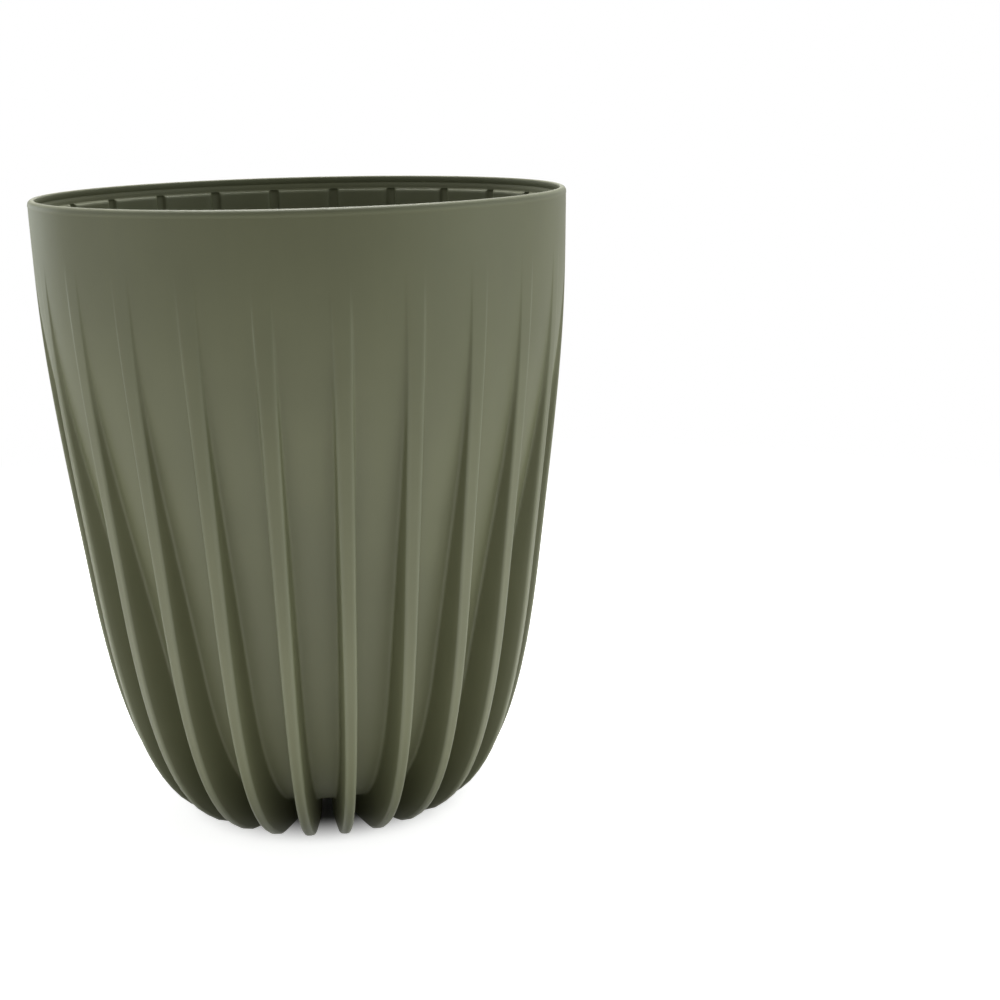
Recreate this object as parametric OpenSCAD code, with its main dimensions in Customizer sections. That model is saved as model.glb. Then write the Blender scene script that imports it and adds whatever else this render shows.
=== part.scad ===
// Tall round planter with a finned outer shell, a smooth inner pot hung in its taper and a
// perforated drainage insert that stands in the inner pot. Millimetres, +Z up, origin at the
// centre of the ground face.

/* [Outer shell] */
// Outer diameter at the rim
rim_diameter = 250; // [230:2:280]
// Overall height from the ground to the rim
overall_height = 300; // [285:1:320]
// Height of the smooth band between the rim and the start of the grooves
band_depth = 26; // [22:1:34]
// Draft of the smooth band in degrees
band_draft = 1.4; // [0.8:0.2:2.4]
// Thickness of the shell wall between the fins
shell_wall = 2.2; // [1.8:0.1:2.6]
// Thickness of the rounded lip at the rim
lip_thickness = 3; // [2.6:0.1:3.4]
// Depth of the inside ledge below the rim
ledge_depth = 7; // [6:0.5:9]
// How far the ledge steps inwards
ledge_step = 1.4; // [1:0.1:1.8]
// Height of the underside of the floor above the ground
floor_height = 13; // [11:0.5:15]
// Thickness of the shell floor
floor_thickness = 2.4; // [2:0.1:3]
// Diameter of the drain hole in the middle of the floor
drain_diameter = 20; // [16:1:26]

/* [Fins] */
// Number of fins around the shell
fin_count = 24; // [20:1:28]
// Width of a fin where it leaves the smooth band
fin_top_width = 9; // [8:0.2:10]
// Width of a fin where it meets the ground
fin_foot_width = 4.2; // [3.8:0.1:5]
// Width of the hollow in a fin at the inside ledge
hollow_top_width = 4.6; // [3.8:0.2:5]
// Width of the hollow in a fin near the ground
hollow_foot_width = 1.2; // [1:0.1:1.6]
// Thickness of the outer edge of a fin
fin_edge_wall = 2.2; // [1.8:0.1:2.6]
// Radius at which a fin turns from its outer edge to the ground
foot_radius = 63; // [60:0.5:66]
// Radius at which a fin ends under the floor
rib_end_radius = 38; // [34:0.5:40]
// How far the end of a fin under the floor leans inwards
rib_end_slope = 4; // [3:0.5:5]
// Solid length of a fin's foot outside its hollow
foot_solid_length = 6; // [5:0.5:8]
// Solid length of a fin's inner end under the floor
end_solid_length = 2; // [1.5:0.5:4]

/* [Outline of the fins' edges] */
// Height at which the edges start to turn under
belly_height = 118; // [110:1:126]
// How far the edges lie inside the rim there
belly_inset = 15.7; // [14:0.1:17]
// Lean of the edges there in degrees
belly_angle = 7.2; // [6:0.2:8.4]
// Lean of the edges at the ground in degrees
foot_angle = 60; // [56:1:64]
// Pull of the curve at the band
edge_band_pull = 45; // [40:1:50]
// Pull of the curve above the turn
edge_upper_pull = 90; // [80:1:100]
// Pull of the curve below the turn
edge_lower_pull = 80; // [72:1:86]
// Pull of the curve at the ground
edge_foot_pull = 25; // [20:1:30]

/* [Outline of the wall between the fins] */
// Lean that the wall adds to the band's draft in degrees
groove_lean = 0.9; // [0.6:0.1:1.4]
// Height at which the wall starts to turn under
shoulder_height = 88; // [84:1:92]
// How far the wall lies inside the rim there
shoulder_inset = 34.5; // [33.5:0.1:35.5]
// Lean of the wall there in degrees
shoulder_angle = 12.6; // [11.6:0.2:13.6]
// Radius at which the wall meets the floor
floor_radius = 46; // [44:0.5:48]
// Lean of the wall at the floor in degrees
floor_angle = 75; // [70:1:80]
// Pull of the curve at the band
wall_band_pull = 58; // [52:1:64]
// Pull of the curve above the turn
wall_upper_pull = 99; // [92:1:104]
// Pull of the curve below the turn
wall_lower_pull = 46; // [42:1:50]
// Pull of the curve at the floor
wall_floor_pull = 22; // [18:1:26]

/* [Inner pot] */
// Depth of the inner pot's rim below the rim of the shell
pot_rim_depth = 19; // [18:0.5:24]
// Clearance between the inner pot and the shell
pot_clearance = 0.3; // [0.3:0.05:0.5]
// Thickness of the inner pot's wall and floor
pot_wall = 2; // [1.6:0.1:2.4]
// Diameter of the inner pot's holes below the three cups
cup_drain_diameter = 17; // [16:0.5:20]
// Diameter of the inner pot's holes below the three grilles
grille_drain_diameter = 22; // [18:1:26]

/* [Drainage insert] */
// Depth of the insert's upper face below the rim of the shell
insert_depth = 169; // [160:1:174]
// Gap between the edge of the insert and the inner pot
insert_gap = 2.4; // [1.6:0.2:4]
// Thickness of the insert's plate and of its cups
insert_wall = 2; // [1.6:0.1:2.4]
// Height of the rounded edge bead of the insert below its upper face
bead_height = 3.6; // [3.2:0.2:5]
// How far the bead stands above the insert's upper face
bead_rise = 0.5; // [0.3:0.1:0.9]
// Depth of a cup from the insert's upper face to the cup's floor
cup_depth = 45; // [40:1:50]
// Distance from the insert's edge to the middle of a cup
cup_margin = 31.3; // [29:0.1:34]
// Inner diameter of a cup at its mouth
cup_mouth_diameter = 35; // [32:0.5:38]
// Inner diameter of a cup at its floor
cup_floor_diameter = 24.6; // [22:0.2:26]
// Diameter of the hole in a cup's floor
cup_hole_diameter = 14.6; // [12:0.2:15.6]
// Height of the low ring around a cup's mouth
ring_height = 0.8; // [0.6:0.1:1.2]
// Width of that ring
ring_width = 3; // [2:0.5:4]
// Distance from the insert's edge to the middle of a grille
grille_margin = 23.3; // [21:0.1:26]
// Number of slots in a grille
slot_count = 4; // [3:1:5]
// Width of a grille slot
slot_width = 4.3; // [3.8:0.1:4.6]
// Width of the bars between the grille slots
bar_width = 1.8; // [1.4:0.1:2.2]
// Diameter of the shallow round mark in the middle
mark_diameter = 23; // [18:1:30]
// Depth of that mark
mark_depth = 0.6; // [0.4:0.1:0.9]

/* [Hidden] */
olive = "#6c7057";
dark_olive = "#3b4132";
brown_black = "#2a2622";
rim_radius = rim_diameter / 2;
fin_pitch = 360 / fin_count;
round_fn = 96;
small_fn = 32;
side_steps = 6;
heel_steps = 6;
lip_steps = 6;
end_over = 1;
point_gap = 0.5;

band_end = [rim_radius - band_depth * tan(band_draft), overall_height - band_depth];
inner_radius = rim_radius - lip_thickness;
bore_radius = inner_radius - ledge_step;
floor_top = floor_height + floor_thickness;
pot_rim_height = overall_height - pot_rim_depth;
insert_top = overall_height - insert_depth;
pot_floor_top = insert_top - cup_depth - insert_wall;
pot_floor_height = pot_floor_top - pot_wall;
grille_diameter = slot_count * slot_width + (slot_count - 1) * bar_width;
cup_angles = [30, 150, 270];
grille_angles = [90, 210, 330];

// Point of a cubic curve
function cubic(a, b, c, d, t) =
    pow(1 - t, 3) * a + 3 * pow(1 - t, 2) * t * b + 3 * (1 - t) * t * t * c + pow(t, 3) * d;
// Derivative of a cubic curve
function cubic_slope(a, b, c, d, t) =
    pow(1 - t, 2) * (b - a) + 2 * (1 - t) * t * (c - b) + t * t * (d - c);
// Direction of a wall that leans inwards by an angle as it goes down
function lean(angle) = [-sin(angle), -cos(angle)];
// Point moved inwards, square to the curve, by a distance
function inset_point(point, slope, distance) =
    point + distance * [slope[1], -slope[0]] / norm(slope);
// Curve from one point and lean to another, moved inwards by a distance
function wall_curve(start, start_angle, start_reach, end, end_angle, end_reach, steps, first, distance) =
    let (b = start + start_reach * lean(start_angle))
    let (c = end - end_reach * lean(end_angle))
    [for (i = [first:steps])
        inset_point(cubic(start, b, c, end, i / steps), cubic_slope(start, b, c, end, i / steps), distance)];

// Outer edges of the fins from the band to the foot
function fin_curve(distance) =
    let (belly = [rim_radius - belly_inset, belly_height])
    let (foot = [foot_radius, 0])
    concat(
        wall_curve(band_end, band_draft, edge_band_pull, belly, belly_angle, edge_upper_pull,
            side_steps, 0, distance),
        wall_curve(belly, belly_angle, edge_lower_pull, foot, foot_angle, edge_foot_pull,
            heel_steps, 1, distance));
// Wall between the fins from the band to the floor
function core_curve(distance) =
    let (shoulder = [rim_radius - shoulder_inset, shoulder_height])
    let (corner = [floor_radius, floor_height])
    concat(
        wall_curve(band_end, band_draft + groove_lean, wall_band_pull, shoulder, shoulder_angle,
            wall_upper_pull, side_steps, 0, distance),
        wall_curve(shoulder, shoulder_angle, wall_lower_pull, corner, floor_angle, wall_floor_pull,
            heel_steps, 1, distance));
// Inside of the shell wall with an extra clearance, never wider than the bore below the ledge
function bore_curve(clearance) =
    [for (p = core_curve(shell_wall + clearance)) [min(p[0], bore_radius - clearance), p[1]]];
// Radius of the inside of the wall at a height
function bore_at(height, clearance) = lookup(height, [for (p = bore_curve(clearance)) [p[1], p[0]]]);
// Part of a falling curve above a height, ended on that height
function cut_above(curve, height, clearance) =
    concat([for (p = curve) if (p[1] > height + point_gap) p], [[bore_at(height, clearance), height]]);
// Part of a falling curve below a height, begun on that height
function cut_below(curve, height) = [for (p = curve) if (p[1] < height - point_gap) p];
// Radius of the insert's edge, and how far the cups and the grilles stand from the middle
plate_radius = bore_at(insert_top, pot_clearance + pot_wall) - insert_gap;
cup_offset = plate_radius - cup_margin;
grille_offset = plate_radius - grille_margin;

// Half round lip between an outer and an inner radius, from outside to inside
function lip_arc(outer, inner, top) =
    let (r = (outer - inner) / 2)
    [for (i = [0:lip_steps]) let (a = 180 * i / lip_steps)
        [(outer + inner) / 2 + r * cos(a), top - r + r * sin(a)]];

// Wedges as high as the planter that narrow downwards, one for each fin
module fin_wedges(top_width, foot_width, inner_end) {
    for (i = [0:fin_count - 1])
        rotate([0, 0, (i + 0.5) * fin_pitch - 90])
            translate([inner_end, 0, 0])
                rotate([90, 0, 90])
                    linear_extrude(rim_radius)
                        polygon([
                            [-foot_width / 2, 0],
                            [foot_width / 2, 0],
                            [top_width / 2, overall_height - band_depth],
                            [top_width / 2, overall_height - ledge_depth],
                            [-top_width / 2, overall_height - ledge_depth],
                            [-top_width / 2, overall_height - band_depth]]);
}

// Solid of revolution that the fins fill
module fin_envelope() {
    rotate_extrude($fn = round_fn)
        polygon(concat(
            [[0, overall_height - band_depth]],
            fin_curve(0),
            [[rib_end_radius, 0], [rib_end_radius - rib_end_slope, floor_height + end_over],
                [0, floor_height + end_over]]));
}

// Solid of revolution that the hollows of the fins fill
module hollow_envelope() {
    rotate_extrude($fn = round_fn)
        polygon(concat(
            [[0, overall_height - ledge_depth],
                [rim_radius - ledge_depth * tan(band_draft) - fin_edge_wall, overall_height - ledge_depth]],
            [for (p = fin_curve(fin_edge_wall)) if (p[1] > fin_edge_wall) p],
            [[foot_radius - foot_solid_length, fin_edge_wall],
                [rib_end_radius + end_solid_length, fin_edge_wall],
                [rib_end_radius, floor_top], [0, floor_top]]));
}

// Lip, band, wall between the fins and floor, without the hollow inside
module shell_body() {
    rotate_extrude($fn = round_fn)
        polygon(concat(
            [[0, overall_height - lip_thickness]],
            [for (i = [lip_steps:-1:0]) lip_arc(rim_radius, inner_radius, overall_height)[i]],
            core_curve(0),
            [[0, floor_height]]));
}

// Hollow inside of the shell, with the ledge below the lip
module shell_hollow() {
    rotate_extrude($fn = round_fn)
        polygon(concat(
            [[0, overall_height + end_over], [inner_radius, overall_height + end_over],
                [inner_radius, overall_height - ledge_depth + ledge_step / 2],
                [inner_radius - ledge_step / 2, overall_height - ledge_depth],
                [bore_radius, overall_height - ledge_depth - ledge_step / 4]],
            cut_below([for (p = bore_curve(0)) if (p[1] > floor_top) p], overall_height - ledge_depth - ledge_step),
            [[bore_at(floor_top, 0), floor_top], [0, floor_top]]));
}

module finned_shell() {
    color(olive)
        difference() {
            union() {
                shell_body();
                intersection() {
                    fin_wedges(fin_top_width, fin_foot_width, rib_end_radius - rib_end_slope - end_over);
                    fin_envelope();
                }
            }
            shell_hollow();
            intersection() {
                fin_wedges(hollow_top_width, hollow_foot_width, rib_end_radius);
                hollow_envelope();
            }
            translate([0, 0, floor_height - end_over])
                cylinder(d = drain_diameter, h = floor_thickness + 2 * end_over, $fn = small_fn);
        }
}

// Outside of the inner pot, below its rim
function pot_outside() = cut_above(cut_below(bore_curve(pot_clearance), pot_rim_height),
    pot_floor_height, pot_clearance);
// Inside of the inner pot, below its rim
function pot_inside() = cut_above(cut_below(bore_curve(pot_clearance + pot_wall), pot_rim_height),
    pot_floor_top, pot_clearance + pot_wall);

module inner_pot() {
    outer = bore_radius - pot_clearance;
    color(dark_olive)
        difference() {
            rotate_extrude($fn = round_fn)
                difference() {
                    polygon(concat(
                        [[0, pot_rim_height - pot_wall]],
                        [for (i = [lip_steps:-1:0]) lip_arc(outer, outer - pot_wall, pot_rim_height)[i]],
                        pot_outside(),
                        [[0, pot_floor_height]]));
                    polygon(concat(
                        [[0, pot_rim_height + end_over], [outer - pot_wall, pot_rim_height + end_over]],
                        pot_inside(),
                        [[0, pot_floor_top]]));
                }
            for (a = cup_angles)
                rotate([0, 0, a])
                    translate([cup_offset, 0, pot_floor_height - end_over])
                        cylinder(d = cup_drain_diameter, h = pot_wall + 2 * end_over, $fn = small_fn);
            for (a = grille_angles)
                rotate([0, 0, a])
                    translate([grille_offset, 0, pot_floor_height - end_over])
                        cylinder(d = grille_drain_diameter, h = pot_wall + 2 * end_over, $fn = small_fn);
        }
}

// Tapered cup below the plate, solid
module cup_outside() {
    translate([0, 0, pot_floor_top])
        cylinder(d1 = cup_floor_diameter + 2 * insert_wall, d2 = cup_mouth_diameter + 2 * insert_wall,
            h = cup_depth + insert_wall, $fn = small_fn);
    translate([0, 0, insert_top])
        cylinder(d1 = cup_mouth_diameter + 2 * insert_wall + 2 * ring_width,
            d2 = cup_mouth_diameter + 2 * insert_wall, h = ring_height, $fn = small_fn);
}

// Hollow of a cup with the hole in its floor
module cup_inside() {
    translate([0, 0, insert_top - cup_depth])
        cylinder(d1 = cup_floor_diameter, d2 = cup_mouth_diameter, h = cup_depth, $fn = small_fn);
    translate([0, 0, insert_top])
        cylinder(d = cup_mouth_diameter, h = ring_height + end_over, $fn = small_fn);
    translate([0, 0, pot_floor_top - end_over])
        cylinder(d = cup_hole_diameter, h = insert_wall + 2 * end_over, $fn = small_fn);
}

// Parallel slots that fill a round grille
module grille_slots() {
    intersection() {
        cylinder(d = grille_diameter, h = insert_wall + 2 * end_over, $fn = small_fn);
        for (i = [0:slot_count - 1])
            translate([-grille_diameter / 2, i * (slot_width + bar_width) - grille_diameter / 2, 0])
                cube([grille_diameter, slot_width, insert_wall + 2 * end_over]);
    }
}

module drainage_insert() {
    color(brown_black)
        difference() {
            union() {
                rotate_extrude($fn = round_fn)
                    polygon(concat(
                        [[0, insert_top], [0, insert_top - insert_wall],
                            [plate_radius - insert_wall, insert_top - insert_wall],
                            [plate_radius - insert_wall, insert_top - bead_height],
                            [plate_radius, insert_top - bead_height]],
                        lip_arc(plate_radius, plate_radius - insert_wall, insert_top + bead_rise)));
                for (a = cup_angles)
                    rotate([0, 0, a])
                        translate([cup_offset, 0, 0])
                            cup_outside();
            }
            for (a = cup_angles)
                rotate([0, 0, a])
                    translate([cup_offset, 0, 0])
                        cup_inside();
            for (a = grille_angles)
                rotate([0, 0, a])
                    translate([grille_offset, 0, insert_top - insert_wall - end_over])
                        grille_slots();
            translate([0, 0, insert_top - mark_depth])
                cylinder(d = mark_diameter, h = mark_depth + end_over, $fn = small_fn);
        }
}

finned_shell();
inner_pot();
drainage_insert();
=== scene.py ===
import logging
import math
from dataclasses import dataclass, field
from enum import Enum

import bmesh
import bpy
import numpy as np
from mathutils import Matrix, Vector


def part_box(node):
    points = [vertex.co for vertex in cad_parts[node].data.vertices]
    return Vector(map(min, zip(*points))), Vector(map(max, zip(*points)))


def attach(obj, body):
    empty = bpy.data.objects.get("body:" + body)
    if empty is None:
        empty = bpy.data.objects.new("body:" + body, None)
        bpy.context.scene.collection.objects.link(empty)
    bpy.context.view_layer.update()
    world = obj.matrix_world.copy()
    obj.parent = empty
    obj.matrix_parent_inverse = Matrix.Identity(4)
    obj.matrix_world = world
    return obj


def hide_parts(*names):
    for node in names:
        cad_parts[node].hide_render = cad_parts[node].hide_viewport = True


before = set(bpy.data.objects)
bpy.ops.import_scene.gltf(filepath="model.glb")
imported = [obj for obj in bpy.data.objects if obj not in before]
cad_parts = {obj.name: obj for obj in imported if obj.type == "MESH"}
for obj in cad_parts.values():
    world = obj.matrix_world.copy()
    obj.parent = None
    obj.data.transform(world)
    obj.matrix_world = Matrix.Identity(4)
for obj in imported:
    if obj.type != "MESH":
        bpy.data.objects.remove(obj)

LOG = logging.getLogger("planter")
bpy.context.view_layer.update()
MM = 0.001
LARGE_TURN_STEPS = 240
CUP_TURN_STEPS = 72
HOLE_TURN_STEPS = 64
PIN_TURN_STEPS = 16
LIP_STEPS = 8
LARGEST_SINE = 0.99
TINY = 1e-9
WHITE = (1, 1, 1, 1)
Point = tuple[float, float]
Colour = tuple[float, float, float]
Row = tuple[np.ndarray, np.ndarray]


class Side(Enum):
    """Which side of the shell's wall a row of the mesh lies on."""

    OUTSIDE = "outside"
    INSIDE = "inside"


class Slot(Enum):
    """The record's material slots."""

    SHELL = "shell_plastic"
    POT = "pot_plastic"
    INSERT = "insert_plastic"


def srgb(text: str) -> Colour:
    """Turns a colour as written on a screen into the linear values that a shader takes.

    Args:
        text: The colour as six hexadecimal digits.

    Returns:
        Red, green and blue from 0 to 1.
    """
    values = [int(text[i:i + 2], 16) / 255 for i in (0, 2, 4)]
    red, green, blue = [v / 12.92 if v <= 0.04045 else ((v + 0.055) / 1.055) ** 2.4 for v in values]
    return red, green, blue


def lean(angle: float) -> np.ndarray:
    """Gives the direction of a wall that leans inwards as it goes down.

    Args:
        angle: Lean from upright, in degrees.

    Returns:
        The direction as radius and height.
    """
    turn = math.radians(angle)
    return np.array([-math.sin(turn), -math.cos(turn)])


def path_lengths(points: np.ndarray) -> np.ndarray:
    """Gives the distance along a path at each of its points."""
    return np.concatenate([[0.0], np.cumsum(np.hypot(*np.diff(points, axis=0).T))])


def spread(points: np.ndarray, count: int) -> np.ndarray:
    """Places points at equal distances along a path.

    Args:
        points: The path as radius and height.
        count: How many points to place, the two ends among them.

    Returns:
        The new points.
    """
    along = path_lengths(points)
    at = np.linspace(0.0, along[-1], count)
    return np.column_stack([np.interp(at, along, points[:, i]) for i in (0, 1)])


def rounded(points: list[Point], radius: float, steps: int = 6) -> np.ndarray:
    """Rounds the inner corners of a path.

    Args:
        points: The corners of the path as radius and height.
        radius: How far from a corner its round starts.
        steps: Stretches in each round.

    Returns:
        The path with its rounds.
    """
    corners = [np.array(p, float) for p in points]
    path = [corners[0]]
    for before, corner, after in zip(corners, corners[1:], corners[2:]):
        way_in, way_out = before - corner, after - corner
        reach = min(radius, np.linalg.norm(way_in) / 2, np.linalg.norm(way_out) / 2)
        start = corner + way_in / np.linalg.norm(way_in) * reach
        end = corner + way_out / np.linalg.norm(way_out) * reach
        for i in range(steps + 1):
            t = i / steps
            path.append((1 - t) ** 2 * start + 2 * (1 - t) * t * corner + t * t * end)
    path.append(corners[-1])
    return np.array(path)


@dataclass(frozen=True)
class WallCurve:
    """One smooth stretch of the planter's outline, between two points with a lean at each."""

    start: Point
    start_angle: float
    start_reach: float
    end: Point
    end_angle: float
    end_reach: float

    def points(self, distance: float, steps: int = 60) -> np.ndarray:
        """Samples the stretch, moved inwards square to itself.

        Args:
            distance: How far to move it inwards.
            steps: Stretches to sample.

        Returns:
            The points as radius and height.
        """
        a, d = np.array(self.start), np.array(self.end)
        b = a + self.start_reach * lean(self.start_angle)
        c = d - self.end_reach * lean(self.end_angle)
        t = np.linspace(0.0, 1.0, steps + 1)[:, None]
        place = (1 - t) ** 3 * a + 3 * (1 - t) ** 2 * t * b + 3 * (1 - t) * t * t * c + t ** 3 * d
        slope = (1 - t) ** 2 * (b - a) + 2 * (1 - t) * t * (c - b) + t * t * (d - c)
        square = np.column_stack([slope[:, 1], -slope[:, 0]])
        return place + distance * square / np.linalg.norm(slope, axis=1)[:, None]


@dataclass(frozen=True)
class PlanterProfiles:
    """The outlines that the shell, the pot and the insert share. Lengths are in metres."""

    rim_radius: float
    height: float
    band_depth: float = 26 * MM
    band_draft: float = 1.4
    shell_wall: float = 2.2 * MM
    lip_thickness: float = 3 * MM
    ledge_depth: float = 7 * MM
    ledge_step: float = 1.4 * MM
    floor_height: float = 13 * MM
    floor_thickness: float = 2.4 * MM
    foot_radius: float = 63 * MM
    rib_end_radius: float = 38 * MM
    belly_inset: float = 15.7 * MM
    belly_height: float = 118 * MM
    shoulder_inset: float = 34.5 * MM
    shoulder_height: float = 88 * MM
    floor_radius: float = 46 * MM
    belly_angle: float = 7.2
    foot_angle: float = 60
    shoulder_angle: float = 12.6
    corner_angle: float = 75
    core_extra_angle: float = 0.9
    edge_reaches: tuple[float, ...] = (45 * MM, 90 * MM, 80 * MM, 25 * MM)
    core_reaches: tuple[float, ...] = (58 * MM, 99 * MM, 46 * MM, 22 * MM)
    pot_rim_depth: float = 19 * MM
    pot_clearance: float = 0.3 * MM
    pot_wall: float = 2 * MM

    @property
    def band_end(self) -> Point:
        """The lower end of the smooth band."""
        return (self.rim_radius - self.band_depth * math.tan(math.radians(self.band_draft)),
                self.height - self.band_depth)

    @property
    def inner_radius(self) -> float:
        """Inner radius of the lip."""
        return self.rim_radius - self.lip_thickness

    @property
    def bore_radius(self) -> float:
        """Inner radius of the wall just below the ledge."""
        return self.inner_radius - self.ledge_step

    @property
    def floor_top(self) -> float:
        """Height of the upper face of the shell's floor."""
        return self.floor_height + self.floor_thickness

    def fin_edge(self, distance: float) -> np.ndarray:
        """Gives the outer edge of a fin from the band to the ground, moved inwards by a distance."""
        belly = (self.rim_radius - self.belly_inset, self.belly_height)
        top, above, below, end = self.edge_reaches
        side = WallCurve(self.band_end, self.band_draft, top, belly, self.belly_angle, above)
        heel = WallCurve(belly, self.belly_angle, below, (self.foot_radius, 0.0), self.foot_angle, end)
        return np.vstack([side.points(distance), heel.points(distance)[1:]])

    def core(self, distance: float) -> np.ndarray:
        """Gives the wall between the fins from the band to the floor, moved inwards by a distance."""
        shoulder = (self.rim_radius - self.shoulder_inset, self.shoulder_height)
        corner = (self.floor_radius, self.floor_height)
        top, above, below, end = self.core_reaches
        start, middle = self.band_draft + self.core_extra_angle, self.shoulder_angle
        side = WallCurve(self.band_end, start, top, shoulder, middle, above)
        heel = WallCurve(shoulder, middle, below, corner, self.corner_angle, end)
        return np.vstack([side.points(distance), heel.points(distance)[1:]])

    def bore(self, clearance: float) -> np.ndarray:
        """Gives the inside of the shell's wall with a clearance, never wider than below the ledge."""
        curve = self.core(self.shell_wall + clearance)
        curve[:, 0] = np.minimum(curve[:, 0], self.bore_radius - clearance)
        return curve

    def bore_at(self, height: float, clearance: float) -> float:
        """Gives the radius of the inside of the wall at a height."""
        curve = self.bore(clearance)[::-1]
        return float(np.interp(height, curve[:, 1], curve[:, 0]))


def lip_arc(outer: float, inner: float, top: float, steps: int) -> np.ndarray:
    """Gives a half round lip from its outer to its inner side.

    Args:
        outer: Outer radius.
        inner: Inner radius.
        top: Height of the crown.
        steps: Stretches of the round.

    Returns:
        The points as radius and height.
    """
    turn = np.linspace(0.0, math.pi, steps + 1)
    half = (outer - inner) / 2
    return np.column_stack([(outer + inner) / 2 + half * np.cos(turn), top - half + half * np.sin(turn)])


def in_scene(name: str, data: bpy.types.ID) -> bpy.types.Object:
    """Puts a mesh, a lamp or a camera into the scene as an object."""
    made = bpy.data.objects.new(name, data)
    bpy.context.scene.collection.objects.link(made)
    return made


def mesh_object(name: str, vertices: np.ndarray, faces: list) -> bpy.types.Object:
    """Makes a smooth shaded mesh object whose faces look outwards.

    Args:
        name: Name of the piece.
        vertices: Places of the vertices.
        faces: Vertex numbers of each face.

    Returns:
        The new object.
    """
    mesh = bpy.data.meshes.new(name)
    mesh.from_pydata([tuple(v) for v in vertices], [], faces)
    work = bmesh.new()
    work.from_mesh(mesh)
    bmesh.ops.recalc_face_normals(work, faces=work.faces)
    work.to_mesh(mesh)
    work.free()
    mesh.shade_smooth()
    return in_scene(name, mesh)


def lathe(name: str, outline: np.ndarray, steps: int) -> bpy.types.Object:
    """Turns a closed outline about the upright axis.

    Args:
        name: Name of the piece.
        outline: Points as radius and height, from the axis back to the axis.
        steps: Stretches round the axis.

    Returns:
        The new object, closed at the axis.
    """
    turn = np.linspace(0.0, 2 * math.pi, steps, endpoint=False)
    inner = outline[1:-1]
    rings = [np.column_stack([r * np.cos(turn), r * np.sin(turn), np.full(steps, z)]) for r, z in inner]
    vertices = np.vstack([*rings, [[0, 0, outline[0][1]], [0, 0, outline[-1][1]]]])
    first, last, base = len(vertices) - 2, len(vertices) - 1, (len(inner) - 1) * steps
    pairs = [(i, (i + 1) % steps) for i in range(steps)]
    faces = [(a + i, a + j, a + steps + j, a + steps + i) for a in range(0, base, steps) for i, j in pairs]
    for i, j in pairs:
        faces += [(first, j, i), (last, base + i, base + j)]
    return mesh_object(name, vertices, faces)


def combine(piece: bpy.types.Object, cutters: list[bpy.types.Object], operation: str) -> None:
    """Adds solids to a piece or cuts them out of it, and removes the solids.

    Args:
        piece: The piece to change.
        cutters: The solids.
        operation: UNION or DIFFERENCE.
    """
    for cutter in cutters:
        change = piece.modifiers.new("combine", "BOOLEAN")
        change.operation = operation
        change.solver = "EXACT"
        change.object = cutter
    graph = bpy.context.evaluated_depsgraph_get()
    made = bpy.data.meshes.new_from_object(piece.evaluated_get(graph))
    piece.modifiers.clear()
    piece.data = made
    for cutter in cutters:
        bpy.data.objects.remove(cutter)


def soften(piece: bpy.types.Object, width: float, angle: float) -> None:
    """Rounds the sharp edges of a piece a little and keeps its large faces even.

    Args:
        piece: The piece to change.
        width: Width of the rounds.
        angle: Smallest angle between two faces that is rounded, in degrees.
    """
    bevel = piece.modifiers.new("rounded_edges", "BEVEL")
    bevel.width = width
    bevel.segments = 2
    bevel.limit_method = "ANGLE"
    bevel.angle_limit = math.radians(angle)
    bevel.harden_normals = True


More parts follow.
